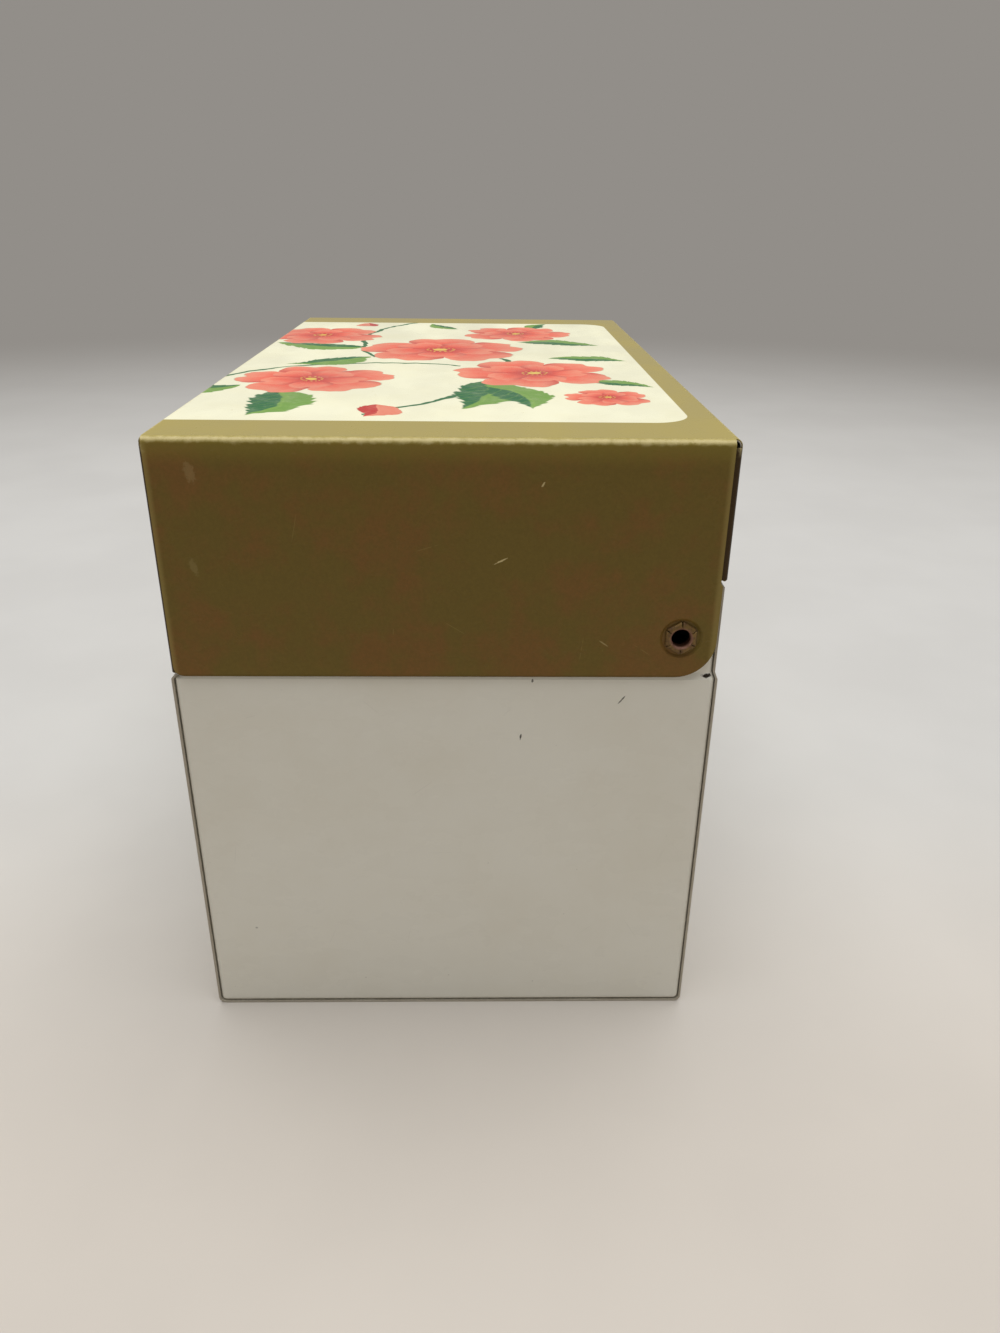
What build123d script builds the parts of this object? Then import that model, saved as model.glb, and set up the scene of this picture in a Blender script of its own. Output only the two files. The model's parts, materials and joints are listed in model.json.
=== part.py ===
from build123d import *
import os
from math import atan, cos, hypot, pi, sin, tan

# Recipe card box of thin tinplate for 3 x 5 inch cards, all sizes in millimetres.
# The origin is the middle of the underside. +X is the right end, -Y the front, +Y the hinged rear.

# Cards
card_length = 127.0  # the long side of a card lies along X
card_end_play = 3.0  # room between a card and the hem of each end panel

# Sheet metal
sheet = 0.3  # thickness of the tinplate
hem_gap = 0.1  # space inside a folded hem
hem_depth = 3.0  # height of a hem, from its fold to its free edge
lay_gap = 0.04  # between two sheets that lie against each other
bend_inside = 0.35  # inside radius of the small forming bends

# Base
box_depth = 77.4  # over the front and rear walls
rim_height = 74.8
neck_height = 14.1  # from the foot of the sloping shoulder to the rim
shoulder_rise = 1.0  # height of the sloping shoulder
rear_step = 0.4  # how far the neck is set in at the rear
base_bend = 1.2  # outside radius where the walls turn into the floor
flange_depth = 5.0  # flanges of the end panels, measured from the outer face
notch_gap = 0.25  # relief where hems and flanges would meet

# Lid
rear_skirt_depth = 19.4
rim_gap = 0.6  # between the rim and the lower edge of the rear skirt
seat_height = 0.6  # of the front skirt's lower edge, above the foot of the shoulder that it rests on
lid_setback = 0.2  # skirts stand this far inside the faces of the base
neck_play = 0.55  # between the front skirt's hem and the neck, which swings past it
lid_bend = 0.95  # outside radius of the bends round the top
front_setback = 0.5  # front edge of an end plate, inside the face of the front skirt
rear_setback = 1.0  # and its rear edge, inside the face of the rear skirt
plate_flare = 0.3  # an end plate is this much wider below the rear skirt
rear_corner = 5.5  # rounding of an end plate's rear lower corner
front_corner = 1.5  # and of its front lower corner
corner_bend = 0.65  # outside radius where a skirt turns into its corner tab
tab_length = 9.0
tab_relief = 1.1  # between the top of a tab and the top of the lid
neck_clearance = 0.25  # between the corner tabs and the neck
swing_clearance = 0.22  # between the end plates and the base's end panels

# Hinge eyelets
pivot_from_rear = 5.7  # from the outer face of the rear skirt
pivot_below_rim = 7.5  # from the rim of the base
eyelet_bore = 2.6  # diameter of the hole through an eyelet
eyelet_wall = 0.35
roll_radius = 0.36  # of the rolled-over end, at the middle of the wall
head_width = 0.75  # of the flat head, outside the barrel
head_bend = 0.05  # inside radius where the barrel turns into the head
petal_count = 6
split_width = 0.3  # width of the split between two petals
running_clearance = 0.05  # radial, between an eyelet and the lid
clinch_clearance = 0.02  # radial, between an eyelet and the base
roll_clearance = 0.08  # between the rolled end and the lid
dimple_depth = 0.3  # recess in an end plate for the rolled end
dimple_play = 0.06  # between the petals' tips and the wall of the recess
dimple_slope = 0.4  # width of the sloping wall of the recess

# Sizes that follow from the ones above
hem_mid = (sheet + hem_gap) / 2  # radius of a hem's fold, at the middle of the sheet
hem_fold = hem_mid + sheet / 2  # outside radius of a hem's fold
hem_width = 2 * hem_fold  # thickness of a hem
hem_leg = hem_depth - hem_fold
bend_mid = bend_inside + sheet / 2

neck_half = card_length / 2 + card_end_play + hem_width
tab_mid = neck_half + neck_clearance + sheet / 2
plate_inner = tab_mid + sheet / 2 + lay_gap
plate_mid = plate_inner + sheet / 2
lid_half_length = plate_inner + sheet
base_half = plate_inner - swing_clearance

shoulder_height = rim_height - neck_height
shoulder_top = shoulder_height + shoulder_rise
rear_edge = rim_height + rim_gap
lid_edge = shoulder_height + seat_height
box_height = rear_edge + rear_skirt_depth

wall_mid = box_depth / 2 - sheet / 2
front_step = lid_setback + hem_width + neck_play
front_neck = box_depth / 2 - front_step
rear_neck = box_depth / 2 - rear_step
front_mid = -front_neck + sheet / 2
rear_mid = rear_neck - sheet / 2
rim_fold = rim_height - hem_fold
step_turn = tan(atan(front_step / shoulder_rise) / 2)  # shift of a bend for each unit that the sheet is offset

skirt_face = box_depth / 2 - lid_setback
skirt_mid = skirt_face - sheet / 2
top_mid = box_height - sheet / 2
lid_bend_mid = lid_bend - sheet / 2
corner_mid = corner_bend - sheet / 2
skirt_half = tab_mid - corner_mid

pivot_y = skirt_face - pivot_from_rear
pivot_z = rim_height - pivot_below_rim
hinge_axis = Axis((0, pivot_y, pivot_z), (1, 0, 0))
barrel_mid = eyelet_bore / 2 + eyelet_wall / 2
barrel_radius = eyelet_bore / 2 + eyelet_wall
roll_base = lid_half_length - dimple_depth + roll_clearance
head_outer = neck_half - sheet - lay_gap
petal_root = barrel_mid * (1 + cos(pi / petal_count)) / 2  # straight petals start from the round barrel
petal_face = petal_root + 2 * roll_radius + eyelet_wall / 2  # outside of the curl
petal_reach = petal_face + eyelet_wall
split_start = split_width / 2 / sin(pi / petal_count)  # where the sides of a petal would meet
petal_slope = tan(pi / petal_count)
petal_tip = hypot(petal_face, (petal_face - split_start) * petal_slope)
dimple_floor = petal_tip + dimple_play
dimple_mouth = dimple_floor + dimple_slope
head_radius = barrel_radius + head_width


def hem(wall, fold, inward, upward):
    """Middle line of a hem: the fold at the end of a wall, and the leg that lies back along it."""
    middle = wall + inward * hem_mid
    leg = wall + inward * 2 * hem_mid
    ThreePointArc((wall, fold), (middle, fold + upward * hem_mid), (leg, fold))
    Line((leg, fold), (leg, fold - upward * hem_leg))


# The base's front wall, floor and rear wall: one sheet, bent along X
with BuildPart() as base_wrap:
    with BuildSketch(Plane.YZ):
        with BuildLine():
            hem(front_mid, rim_fold, inward=1, upward=1)
            FilletPolyline(
                (front_mid, rim_fold),
                (front_mid, shoulder_top),
                (-wall_mid, shoulder_height),
                (-wall_mid, sheet / 2),
                (wall_mid, sheet / 2),
                (wall_mid, shoulder_height),
                (rear_mid, shoulder_top),
                (rear_mid, rim_fold),
                radius=[bend_mid, bend_mid, base_bend - sheet / 2, base_bend - sheet / 2, bend_mid, bend_mid],
            )
            hem(rear_mid, rim_fold, inward=-1, upward=1)
        trace(line_width=sheet)
    extrude(amount=base_half, both=True)
    # The neck is shorter than the walls below it
    with BuildSketch(Plane.XZ):
        with BuildLine():
            Polyline(
                (-base_half, 0),
                (base_half, 0),
                (base_half, shoulder_height),
                (neck_half, shoulder_top),
                (neck_half, rim_height),
                (-neck_half, rim_height),
                (-neck_half, shoulder_top),
                (-base_half, shoulder_height),
                close=True,
            )
        make_face()
    extrude(amount=box_depth, both=True, mode=Mode.INTERSECT)
    # The hems stop short of the end panels' corner bends
    with BuildSketch(Plane.XY.offset(rim_height - hem_depth - notch_gap)):
        for side in (-1, 1):
            notch = base_bend + notch_gap
            with Locations((side * (neck_half - notch / 2), (rear_neck - front_neck) / 2)):
                Rectangle(notch, rear_neck + front_neck - 2 * sheet)
    extrude(amount=hem_depth + 2 * notch_gap, mode=Mode.SUBTRACT)


def pan_section(height, face, front, rear, back, bend):
    """Level section of an end panel's block: a rectangle with its two outer corners bent round."""
    with BuildSketch(Plane.XY.offset(height)) as section:
        with Locations(((face + back) / 2, (front + rear) / 2)):
            Rectangle(face - back, rear - front)
        fillet(section.vertices().group_by(Axis.X)[-1], radius=bend)
    return section.sketch


def pan_block(inset, overrun):
    """Solid block in the form of the right end panel, drawn in by inset and run out at its open sides."""
    bend = base_bend - sheet - inset
    wall = wall_mid - sheet / 2 - lay_gap - inset
    foot = sheet + lay_gap + inset
    back = base_half - flange_depth - overrun
    drop = (sheet / 2 + lay_gap + inset) * step_turn  # inner bends of the step lie lower than outer ones
    low = shoulder_height - drop
    high = shoulder_top - drop
    front = -front_neck + sheet + lay_gap + inset
    rear = rear_neck - sheet - lay_gap - inset
    with BuildPart() as block:
        with BuildSketch(Plane.XY.offset(foot)):
            with Locations(((base_half - inset + back) / 2, 0)):
                Rectangle(base_half - inset - back, 2 * wall)
        extrude(amount=low - foot)
        uprights = block.edges().filter_by(Axis.Z).group_by(Axis.X)[-1]
        foot_edges = block.edges().group_by(Axis.Z)[0]
        fillet(uprights + foot_edges.sort_by(Axis.X)[1:], radius=bend)
        lower = pan_section(low, base_half - inset, -wall, wall, back, bend)
        upper = pan_section(high, neck_half - inset, front, rear, back, bend)
        loft([lower, upper])
        extrude(upper, amount=rim_fold + overrun - high)
    return block.part


# The right end panel: a shallow pan with flanges at the foot and both sides and a hem along the rim
with BuildPart() as base_end_right:
    add(pan_block(0, 0))
    add(pan_block(sheet, 1), mode=Mode.SUBTRACT)
    # The side flanges stop below the hems of the wrap
    with BuildSketch(Plane.XY.offset(rim_height - hem_depth - notch_gap)):
        back = base_half - flange_depth
        side = neck_half - base_bend + sheet
        with Locations(((back + side) / 2, 0)):
            Rectangle(side - back, box_depth)
    extrude(amount=hem_depth, mode=Mode.SUBTRACT)
    hem_front = -front_neck + base_bend + lay_gap
    hem_rear = rear_neck - base_bend - lay_gap
    with BuildSketch(Plane.XZ.offset(-hem_rear)):
        with BuildLine():
            hem(neck_half - sheet / 2, rim_fold, inward=-1, upward=1)
        trace(line_width=sheet)
    extrude(amount=hem_rear - hem_front)
    with Locations(Plane((neck_half, pivot_y, pivot_z), z_dir=(1, 0, 0))):
        Hole(radius=barrel_radius + clinch_clearance, depth=flange_depth)

with BuildPart() as base_end_left:
    mirror(base_end_right.part, about=Plane.YZ)


# The lid: top, end plates, skirts, hems and corner tabs, folded from one sheet
with BuildPart() as lid_shell:
    # Top and end plates
    with BuildSketch(Plane.XZ):
        with BuildLine():
            FilletPolyline(
                (-plate_mid, lid_edge),
                (-plate_mid, top_mid),
                (plate_mid, top_mid),
                (plate_mid, lid_edge),
                radius=lid_bend_mid,
            )
        trace(line_width=sheet)
    extrude(amount=skirt_face, both=True)
    # Outline of the end plates, which are a little wider below the short rear skirt
    with BuildSketch(Plane.YZ) as plate:
        plate_front = front_setback - skirt_face
        plate_rear = skirt_face - rear_setback
        with BuildLine():
            Polyline(
                (plate_front, lid_edge),
                (plate_rear + plate_flare, lid_edge),
                (plate_rear + plate_flare, rear_edge - plate_flare),
                (plate_rear, rear_edge),
                (plate_rear, box_height),
                (plate_front, box_height),
                close=True,
            )
        make_face()
        fillet(plate.vertices().group_by(Axis.Y)[0].sort_by(Axis.X)[-1], radius=rear_corner)
        fillet(plate.vertices().group_by(Axis.Y)[0].sort_by(Axis.X)[0], radius=front_corner)
    extrude(amount=lid_half_length, both=True, mode=Mode.INTERSECT)
    # Front and rear skirts, bent down from the same top
    with BuildSketch(Plane.YZ):
        with BuildLine():
            hem(-skirt_mid, lid_edge + hem_fold, inward=1, upward=-1)
            FilletPolyline(
                (-skirt_mid, lid_edge + hem_fold),
                (-skirt_mid, top_mid),
                (skirt_mid, top_mid),
                (skirt_mid, rear_edge + hem_fold),
                radius=lid_bend_mid,
            )
            hem(skirt_mid, rear_edge + hem_fold, inward=-1, upward=-1)
        trace(line_width=sheet)
    extrude(amount=skirt_half, both=True)
    # A tab turns from each end of a skirt and lies behind the end plate
    for rear, edge in ((-1, lid_edge), (1, rear_edge)):
        for right in (-1, 1):
            with BuildSketch(Plane.XY.offset(edge + hem_fold)):
                with BuildLine():
                    FilletPolyline(
                        (right * (skirt_half - sheet), rear * skirt_mid),
                        (right * tab_mid, rear * skirt_mid),
                        (right * tab_mid, rear * (skirt_mid - tab_length)),
                        radius=corner_mid,
                    )
                trace(line_width=sheet)
            extrude(amount=box_height - tab_relief - edge - hem_fold)
    # Dimples that seat the rolled ends of the eyelets, and the holes that turn on them
    for right in (-1, 1):
        face = Plane((right * lid_half_length, pivot_y, pivot_z), z_dir=(right, 0, 0))
        with BuildSketch(face.offset(-sheet)):
            Circle(dimple_mouth)
        with BuildSketch(face.offset(-sheet - dimple_depth)):
            Circle(dimple_floor)
        loft()
        with BuildSketch(face):
            Circle(dimple_mouth)
        with BuildSketch(face.offset(-dimple_depth)):
            Circle(dimple_floor)
        loft(mode=Mode.SUBTRACT)
        with Locations(face):
            Hole(radius=barrel_radius + running_clearance, depth=sheet + 2 * dimple_depth)


# One petal of an eyelet's rolled end, standing off the Z axis: it curls outwards over a straight line
with BuildPart() as petal:
    with BuildSketch(Plane.XZ):
        with BuildLine():
            ThreePointArc((petal_root, 0), (petal_root + roll_radius, roll_radius), (petal_root + 2 * roll_radius, 0))
        trace(line_width=eyelet_wall)
    extrude(amount=petal_reach, both=True)
    # Its sides run in to the axis, half a split away from those of its neighbours
    with BuildSketch(Plane.XY):
        half_width = (petal_reach - split_start) * petal_slope
        Polygon((split_start, 0), (petal_reach, half_width), (petal_reach, -half_width), align=None)
    extrude(amount=2 * roll_radius, mode=Mode.INTERSECT)


# A hinge eyelet: head inside the base, barrel through both sheets, outer end rolled over in petals
with BuildPart() as hinge_eyelet_right:
    with BuildSketch(Plane.XZ.offset(-pivot_y)):
        head_mid = head_outer - eyelet_wall / 2
        with BuildLine():
            FilletPolyline(
                (head_mid, pivot_z + head_radius),
                (head_mid, pivot_z + barrel_mid),
                (roll_base, pivot_z + barrel_mid),
                radius=head_bend + eyelet_wall / 2,
            )
        trace(line_width=eyelet_wall)
    revolve(axis=hinge_axis)
    with Locations(Plane((roll_base, pivot_y, pivot_z), x_dir=(0, 0, 1), z_dir=(1, 0, 0))):
        with PolarLocations(0, petal_count, start_angle=180 / petal_count):
            add(petal.part)

with BuildPart() as hinge_eyelet_left:
    mirror(hinge_eyelet_right.part, about=Plane.YZ)


pieces = {
    "base_wrap": base_wrap,
    "base_end_right": base_end_right,
    "base_end_left": base_end_left,
    "lid_shell": lid_shell,
    "hinge_eyelet_right": hinge_eyelet_right,
    "hinge_eyelet_left": hinge_eyelet_left,
}
os.makedirs("parts", exist_ok=True)
for name, piece in pieces.items():
    piece.part.label = name
    export_step(piece.part, f"parts/{name}.step")
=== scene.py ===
"""Looks of a tinplate recipe card box: printed enamel, wear, rolled hinge eyelets and a small studio."""

import json
import math
from functools import cache

import bpy
from bpy.props import FloatProperty, FloatVectorProperty, IntProperty, PointerProperty
from mathutils import Matrix, Vector


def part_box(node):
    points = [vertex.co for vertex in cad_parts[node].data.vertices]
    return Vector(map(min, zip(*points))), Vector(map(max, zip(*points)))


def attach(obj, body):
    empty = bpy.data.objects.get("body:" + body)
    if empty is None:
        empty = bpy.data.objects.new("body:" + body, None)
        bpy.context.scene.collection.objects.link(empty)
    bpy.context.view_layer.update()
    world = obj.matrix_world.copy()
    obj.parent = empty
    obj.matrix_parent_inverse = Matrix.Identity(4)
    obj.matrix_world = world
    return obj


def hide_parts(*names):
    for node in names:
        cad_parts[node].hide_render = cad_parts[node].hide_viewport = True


bl_info = {
    "name": "Recipe Card Box Looks",
    "version": (1, 0, 0),
    "blender": (4, 5, 0),
    "location": "3D View > Sidebar > Card Box",
    "description": "Dresses a tinplate recipe card box in printed enamel, with its wear, eyelets and studio",
    "category": "Object",
}

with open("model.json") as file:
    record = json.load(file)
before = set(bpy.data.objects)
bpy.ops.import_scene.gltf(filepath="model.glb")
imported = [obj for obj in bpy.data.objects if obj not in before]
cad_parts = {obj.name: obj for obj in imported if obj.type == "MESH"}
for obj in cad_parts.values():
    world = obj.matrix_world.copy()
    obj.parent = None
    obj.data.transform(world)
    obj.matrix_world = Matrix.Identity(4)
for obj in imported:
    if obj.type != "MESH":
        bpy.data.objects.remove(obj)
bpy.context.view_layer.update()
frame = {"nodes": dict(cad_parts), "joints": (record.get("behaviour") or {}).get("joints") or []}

MM = 0.001  # materials and the sizes below are in millimetres

# Corners of the pieces at rest, and the middle of the hinge
LID_LOW, LID_HIGH = (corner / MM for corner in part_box("lid_shell"))
WRAP_LOW, WRAP_HIGH = (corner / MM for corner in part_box("base_wrap"))
END_LOW, END_HIGH = (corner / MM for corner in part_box("base_end_right"))
EYELET_LOW, EYELET_HIGH = (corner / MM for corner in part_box("hinge_eyelet_right"))
PIVOT = Vector(frame["joints"][0]["pos_m"]) / MM

# Sizes of the folded metal, as in the construction
SHEET = 0.3
LAY_GAP = 0.04  # between two sheets that lie against each other
HEM_WIDTH = 0.7
HEM_DEPTH = 3.0
HEM_INSET = HEM_WIDTH - SHEET / 2 + LAY_GAP  # how much deeper the paint reaches at a hem than on a single sheet
LID_BEND = 0.95  # outside radius of the bends round the lid's top
BASE_BEND = 1.2  # the same round the base's foot
END_BEND = 0.9  # the same on the base's end panels
OPEN_DEPTH = 10.0  # stands for a side of a sheet that has no bend
REAR_SKIRT_DEPTH = 19.4
PLATE_FRONT = -38.0  # edges of the lid's end plates
PLATE_REAR = 37.5
CORNER_START = 67.15  # from here a skirt bends into its corner tab
DIMPLE_DEPTH = 0.3
DIMPLE_FLOOR = 2.6  # radii of the recess round an eyelet
DIMPLE_MOUTH = 3.0
NECK_HALF = 67.2  # the base's neck: half its length, and its faces
NECK_FRONT = -37.25
NECK_REAR = 38.3
SHOULDER = 60.7  # foot of the slope below the neck
SHOULDER_RISE = 1.0

FACING = 0.7  # a face looks along an axis where its normal's share of that axis is larger

# Printed panel, measured along the folded sheet from the middle of the top
PANEL_HALF = 57.6
PANEL_REAR = 34.0
PANEL_FRONT = -66.0
PANEL_CORNER = 5.5

# The spray on the lid, in millimetres from the middle of the top: along the box, then towards the rear.
# Past the front edge it runs on down the front skirt.
BLOSSOMS = (  # centre, turn in degrees, radius
    ((16, 14), 20, 14.5),
    ((-38, 13), 50, 12.5),
    ((-12, -3), 76, 16.5),
    ((24, -23), 8, 13.5),
    ((-33, -30), 33, 14.0),
    ((3, -51), 62, 12.0),
    ((39, 24), 15, 7.0),
)
LEAVES = (  # foot, turn in degrees, length, width for a length of one
    ((24, 6), -10, 25, 0.46),
    ((24, 22), 62, 12, 0.42),
    ((29, 6), 18, 20, 0.44),
    ((-1, 18), 80, 15, 0.44),
    ((-24, 12), 75, 18, 0.42),
    ((-48, 16), 150, 10, 0.48),
    ((-46, 0), 215, 12, 0.44),
    ((-14, -18), 250, 20, 0.46),
    ((-2, -16), 305, 18, 0.44),
    ((34, -26), -4, 21, 0.48),
    ((30, -34), -62, 17, 0.44),
    ((-42, -42), 228, 15, 0.46),
    ((-22, -42), 290, 18, 0.44),
    ((13, -56), -12, 19, 0.46),
    ((-8, -56), 205, 15, 0.46),
)
BUDS = (  # foot, turn in degrees, length, width for a length of one
    ((46, -10), -12, 9, 0.75),
    ((-50, -20), 200, 7, 0.75),
    ((44, -50), -35, 9, 0.75),
)
STEMS = (  # centre of the circle, direction of the arc's middle in degrees, radius, half sweep in degrees
    ((10, -42), 68, 52, 34),
    ((-26, 40), 262, 60, 32),
    ((36, -12), 200, 30, 46),
    ((30, -80), 95, 34, 38),
)

# Single marks on the right end: place along Y and Z, turn in degrees, length, width, strength
DARK_MARKS = (
    ((37.1, 61.2), 4, 1.6, 0.7, 1.0),
    ((10.8, 51.3), 84, 1.2, 0.3, 0.9),
    ((25.2, 57.4), 53, 2.0, 0.26, 0.8),
    ((12.3, 60.4), 90, 0.8, 0.35, 0.8),
    ((-31.0, 16.0), 20, 0.5, 0.4, 0.4),
)
PALE_MARKS = (
    ((7.6, 78.5), 27, 2.6, 0.26, 0.9),
    ((13.0, 89.0), 60, 0.9, 0.3, 0.8),
    ((-32.3, 90.3), 100, 3.2, 1.6, 0.13),
    ((-33.3, 77.5), 105, 2.8, 1.2, 0.11),
    ((22.0, 66.5), -35, 2.0, 0.2, 0.4),
)


def srgb(red, green, blue):
    """Linear colour of an 8-bit screen colour."""
    def linear(level):
        share = level / 255
        return share / 12.92 if share <= 0.04045 else ((share + 0.055) / 1.055) ** 2.4
    return linear(red), linear(green), linear(blue)


def shade(paint, red, green=None, blue=None):
    """A colour scaled by one factor, or by one for each channel."""
    factors = (red, red if green is None else green, red if blue is None else blue)
    return tuple(channel * factor for channel, factor in zip(paint, factors))


def colour(name, description, red, green, blue):
    """Property for a colour of the finish, given as its screen colour."""
    default = srgb(red, green, blue)
    return FloatVectorProperty(
        name=name, description=description, default=default, subtype="COLOR", size=3, min=0.0, max=1.0
    )


def length(name, description, default):
    """Property for a small length, kept in metres."""
    return FloatProperty(name=name, description=description, default=default * MM, unit="LENGTH", precision=5)


def angle(name, description, degrees):
    """Property for an angle."""
    return FloatProperty(name=name, description=description, default=math.radians(degrees), subtype="ANGLE")


class CardBoxEnamel(bpy.types.PropertyGroup):
    """Colours of the enamel, the print and the bare metal, with the painted highlights and painted shade of the
    lid.
    """

    olive: colour("Olive", "Enamel of the lid's ends and skirts", 117, 98, 45)
    olive_brown: colour("Browned olive", "Patches of the lid's ends", 129, 92, 48)
    # Painted highlight: a lighter, greener olive for the band just below the top bends.
    lit_olive_green: colour("Green olive", "Enamel just below the upper edges", 138, 122, 52)
    # Painted highlight on the turned vertical edges of the end plates; the same pale olive also colours the
    # scratches and specks.
    olive_rim_highlight_and_scratch: colour("Rim of the plates", "Turned edges of the end plates", 168, 150, 90)
    # Rubbed paint and painted highlight in one: the pale colour of the bends round the top.
    olive_rubbed_and_highlight: colour("Rubbed olive", "Bends where the enamel is rubbed thin", 232, 216, 160)
    # Painted light: the top face's olive is a lit copy of the ends' olive, painted lighter because the top
    # faces the key light.
    lit_olive_top: colour("Olive on top", "Enamel round the printed panel", 178, 162, 95)
    # Painted shade: a dark brown in place of the shadowed gaps at the corners beside the end plates.
    seam: colour("Corner seams", "Grimy corners beside the end plates", 66, 50, 28)
    cream: colour("Cream", "Ground of the printed panel", 255, 252, 221)
    coral: colour("Coral", "Petals", 250, 112, 90)
    coral_pale: colour("Pale coral", "Rims of the petals", 252, 158, 128)
    coral_deep: colour("Deep coral", "Throats of the blossoms", 202, 58, 58)
    stamen: colour("Stamens", "Hearts of the blossoms", 246, 208, 96)
    leaf_light: colour("Light leaf", "Lit halves of the leaves", 138, 180, 78)
    leaf_dark: colour("Dark leaf", "Shaded halves of the leaves", 36, 112, 66)
    white: colour("White", "Enamel of the base", 234, 231, 219)
    tin: colour("Tinplate", "Bare metal inside", 214, 210, 200)
    raw_edge: colour("Raw edge", "Cut edges of the sheet", 180, 172, 156)
    copper: colour("Copper", "Throats of the eyelets", 146, 106, 88)
    petal: colour("Petals", "Dulled petals of the eyelets", 126, 100, 54)
    rust: colour("Rust", "Tarnish of the eyelets and the chips", 74, 44, 28)


class CardBoxEyelets(bpy.types.PropertyGroup):
    """Sizes of the rolled hinge eyelets."""

    petals: IntProperty(name="Petals", description="Petals that the rolled end splits into", default=6, min=3)
    wall: length("Wall", "Thickness of the metal", 0.3)
    barrel: length("Barrel", "Radius of the barrel at the middle of its wall", 1.475)
    head: length("Head", "Radius of the flat head inside the base", 2.4)
    roll: length("Roll", "Radius of the roll at the middle of its wall", 0.34)
    split: length("Split", "Width of the split between two petals", 0.14)
    turn: angle("Roll turn", "How far the end is rolled over", 185)


class CardBoxStudio(bpy.types.PropertyGroup):
    """Floor, lights and camera."""

    floor: colour("Floor", "Floor round the box", 205, 203, 199)
    floor_near: colour("Near floor", "Floor on the camera's side", 208, 200, 190)
    distance: colour("Distance", "Far floor and backdrop", 146, 142, 137)
    camera_place: FloatVectorProperty(
        name="Camera place",
        description="Where the camera stands",
        default=(0.19172, 0.00507, 0.12219),
        subtype="TRANSLATION",
        unit="LENGTH",
    )
    camera_down: angle("Camera down", "How far it looks down", 25.609)
    camera_aside: angle("Camera aside", "Its turn from the -X axis", -1.197)
    camera_roll: angle("Camera roll", "Its roll", 0.649)
    lens: FloatProperty(name="Lens", description="Focal length in millimetres", default=26.375, min=1.0)
    sun: FloatProperty(name="Sun", description="Strength of the soft key light", default=2.75, min=0.0)
    sun_size: angle("Sun size", "Angle that the key light fills", 62)
    sun_lean: angle("Sun lean", "Lean of the key light towards the far end", 3)
    sun_side: angle("Sun side", "Lean of the key light towards the rear", 2)
    sky: FloatProperty(name="Sky", description="Strength of the light from all round", default=0.22, min=0.0)


class Wires:
    """Adds nodes to a tree and joins them, so that a formula reads as a formula."""

    def __init__(self, tree):
        self.tree = tree

    def put(self, kind, sockets=None, **settings):
        """A new node with its settings and its inputs."""
        node = self.tree.nodes.new(kind)
        for name, value in settings.items():
            setattr(node, name, value)
        for name, value in (sockets or {}).items():
            self.feed(node.inputs[name], value)
        return node

    def feed(self, socket, value):
        """Links a socket to another one, or gives it a plain value."""
        if isinstance(value, bpy.types.NodeSocket):
            self.tree.links.new(value, socket)
        elif socket.type == "RGBA" and len(value) == 3:
            socket.default_value = (*value, 1.0)
        else:
            socket.default_value = value

    def math(self, operation, *values):
        node = self.put("ShaderNodeMath", operation=operation)
        for socket, value in zip(node.inputs, values):
            self.feed(socket, value)
        return node.outputs[0]

    def product(self, first, *others):
        """All the values multiplied together."""
        for other in others:
            first = self.math("MULTIPLY", first, other)
        return first

    def minus(self, first, second):
        return self.math("SUBTRACT", first, second)

    def vector(self, operation, *values):
        node = self.put("ShaderNodeVectorMath", operation=operation)
        for socket, value in zip(node.inputs, values):
            self.feed(socket, value)
        return node.outputs["Value" if operation in ("LENGTH", "DOT_PRODUCT") else "Vector"]

    def ramp(self, value, low, high, start=0.0, end=1.0):
        """Smooth step from start, at low, to end, at high."""
        node = self.put("ShaderNodeMapRange", interpolation_type="SMOOTHSTEP", clamp=False)
        names = ("Value", "From Min", "From Max", "To Min", "To Max")
        for name, given in zip(names, (value, low, high, start, end)):
            self.feed(node.inputs[name], given)
        return node.outputs["Result"]

    def above(self, value, limit, soft=0.02):
        """Mask of what lies over a limit."""
        return self.ramp(self.minus(value, limit), -soft, soft)

    def below(self, value, limit, soft=0.02):
        """Mask of what lies under a limit."""
        return self.ramp(self.minus(value, limit), soft, -soft)

    def blend(self, factor, first, second):
        node = self.put("ShaderNodeMix", data_type="FLOAT")
        for index, value in ((0, factor), (2, first), (3, second)):
            self.feed(node.inputs[index], value)
        return node.outputs[0]

    def tint(self, factor, first, second):
        node = self.put("ShaderNodeMix", data_type="RGBA")
        for index, value in ((0, factor), (6, first), (7, second)):
            self.feed(node.inputs[index], value)
        return node.outputs[2]

    def parts(self, vector):
        return self.put("ShaderNodeSeparateXYZ", {"Vector": vector}).outputs

    def join(self, x, y, z=0.0):
        return self.put("ShaderNodeCombineXYZ", {"X": x, "Y": y, "Z": z}).outputs[0]

    def noise(self, place, scale, detail=2.0, roughness=0.5, output="Fac"):
        sockets = {"Vector": place, "Scale": scale, "Detail": detail, "Roughness": roughness}
        return self.put("ShaderNodeTexNoise", sockets).outputs[output]

    def use(self, group, **sockets):
        """Places a group; its inputs are named in small letters, with _ for a space."""
        node = self.put("ShaderNodeGroup", node_tree=group)
        for name, value in sockets.items():
            self.feed(node.inputs[name.replace("_", " ").capitalize()], value)
        return node.outputs


# What the groups' sockets hold, by their labels; the others hold a value
VECTORS = ("Place", "Low", "High", "Flat", "Normal", "Depths", "Centre", "Middle", "Half size")
COLOURS = ("Colour", "Tin", "Rust", "Petal", "Rim", "Throat", "Stamen", "Light", "Dark")


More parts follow.
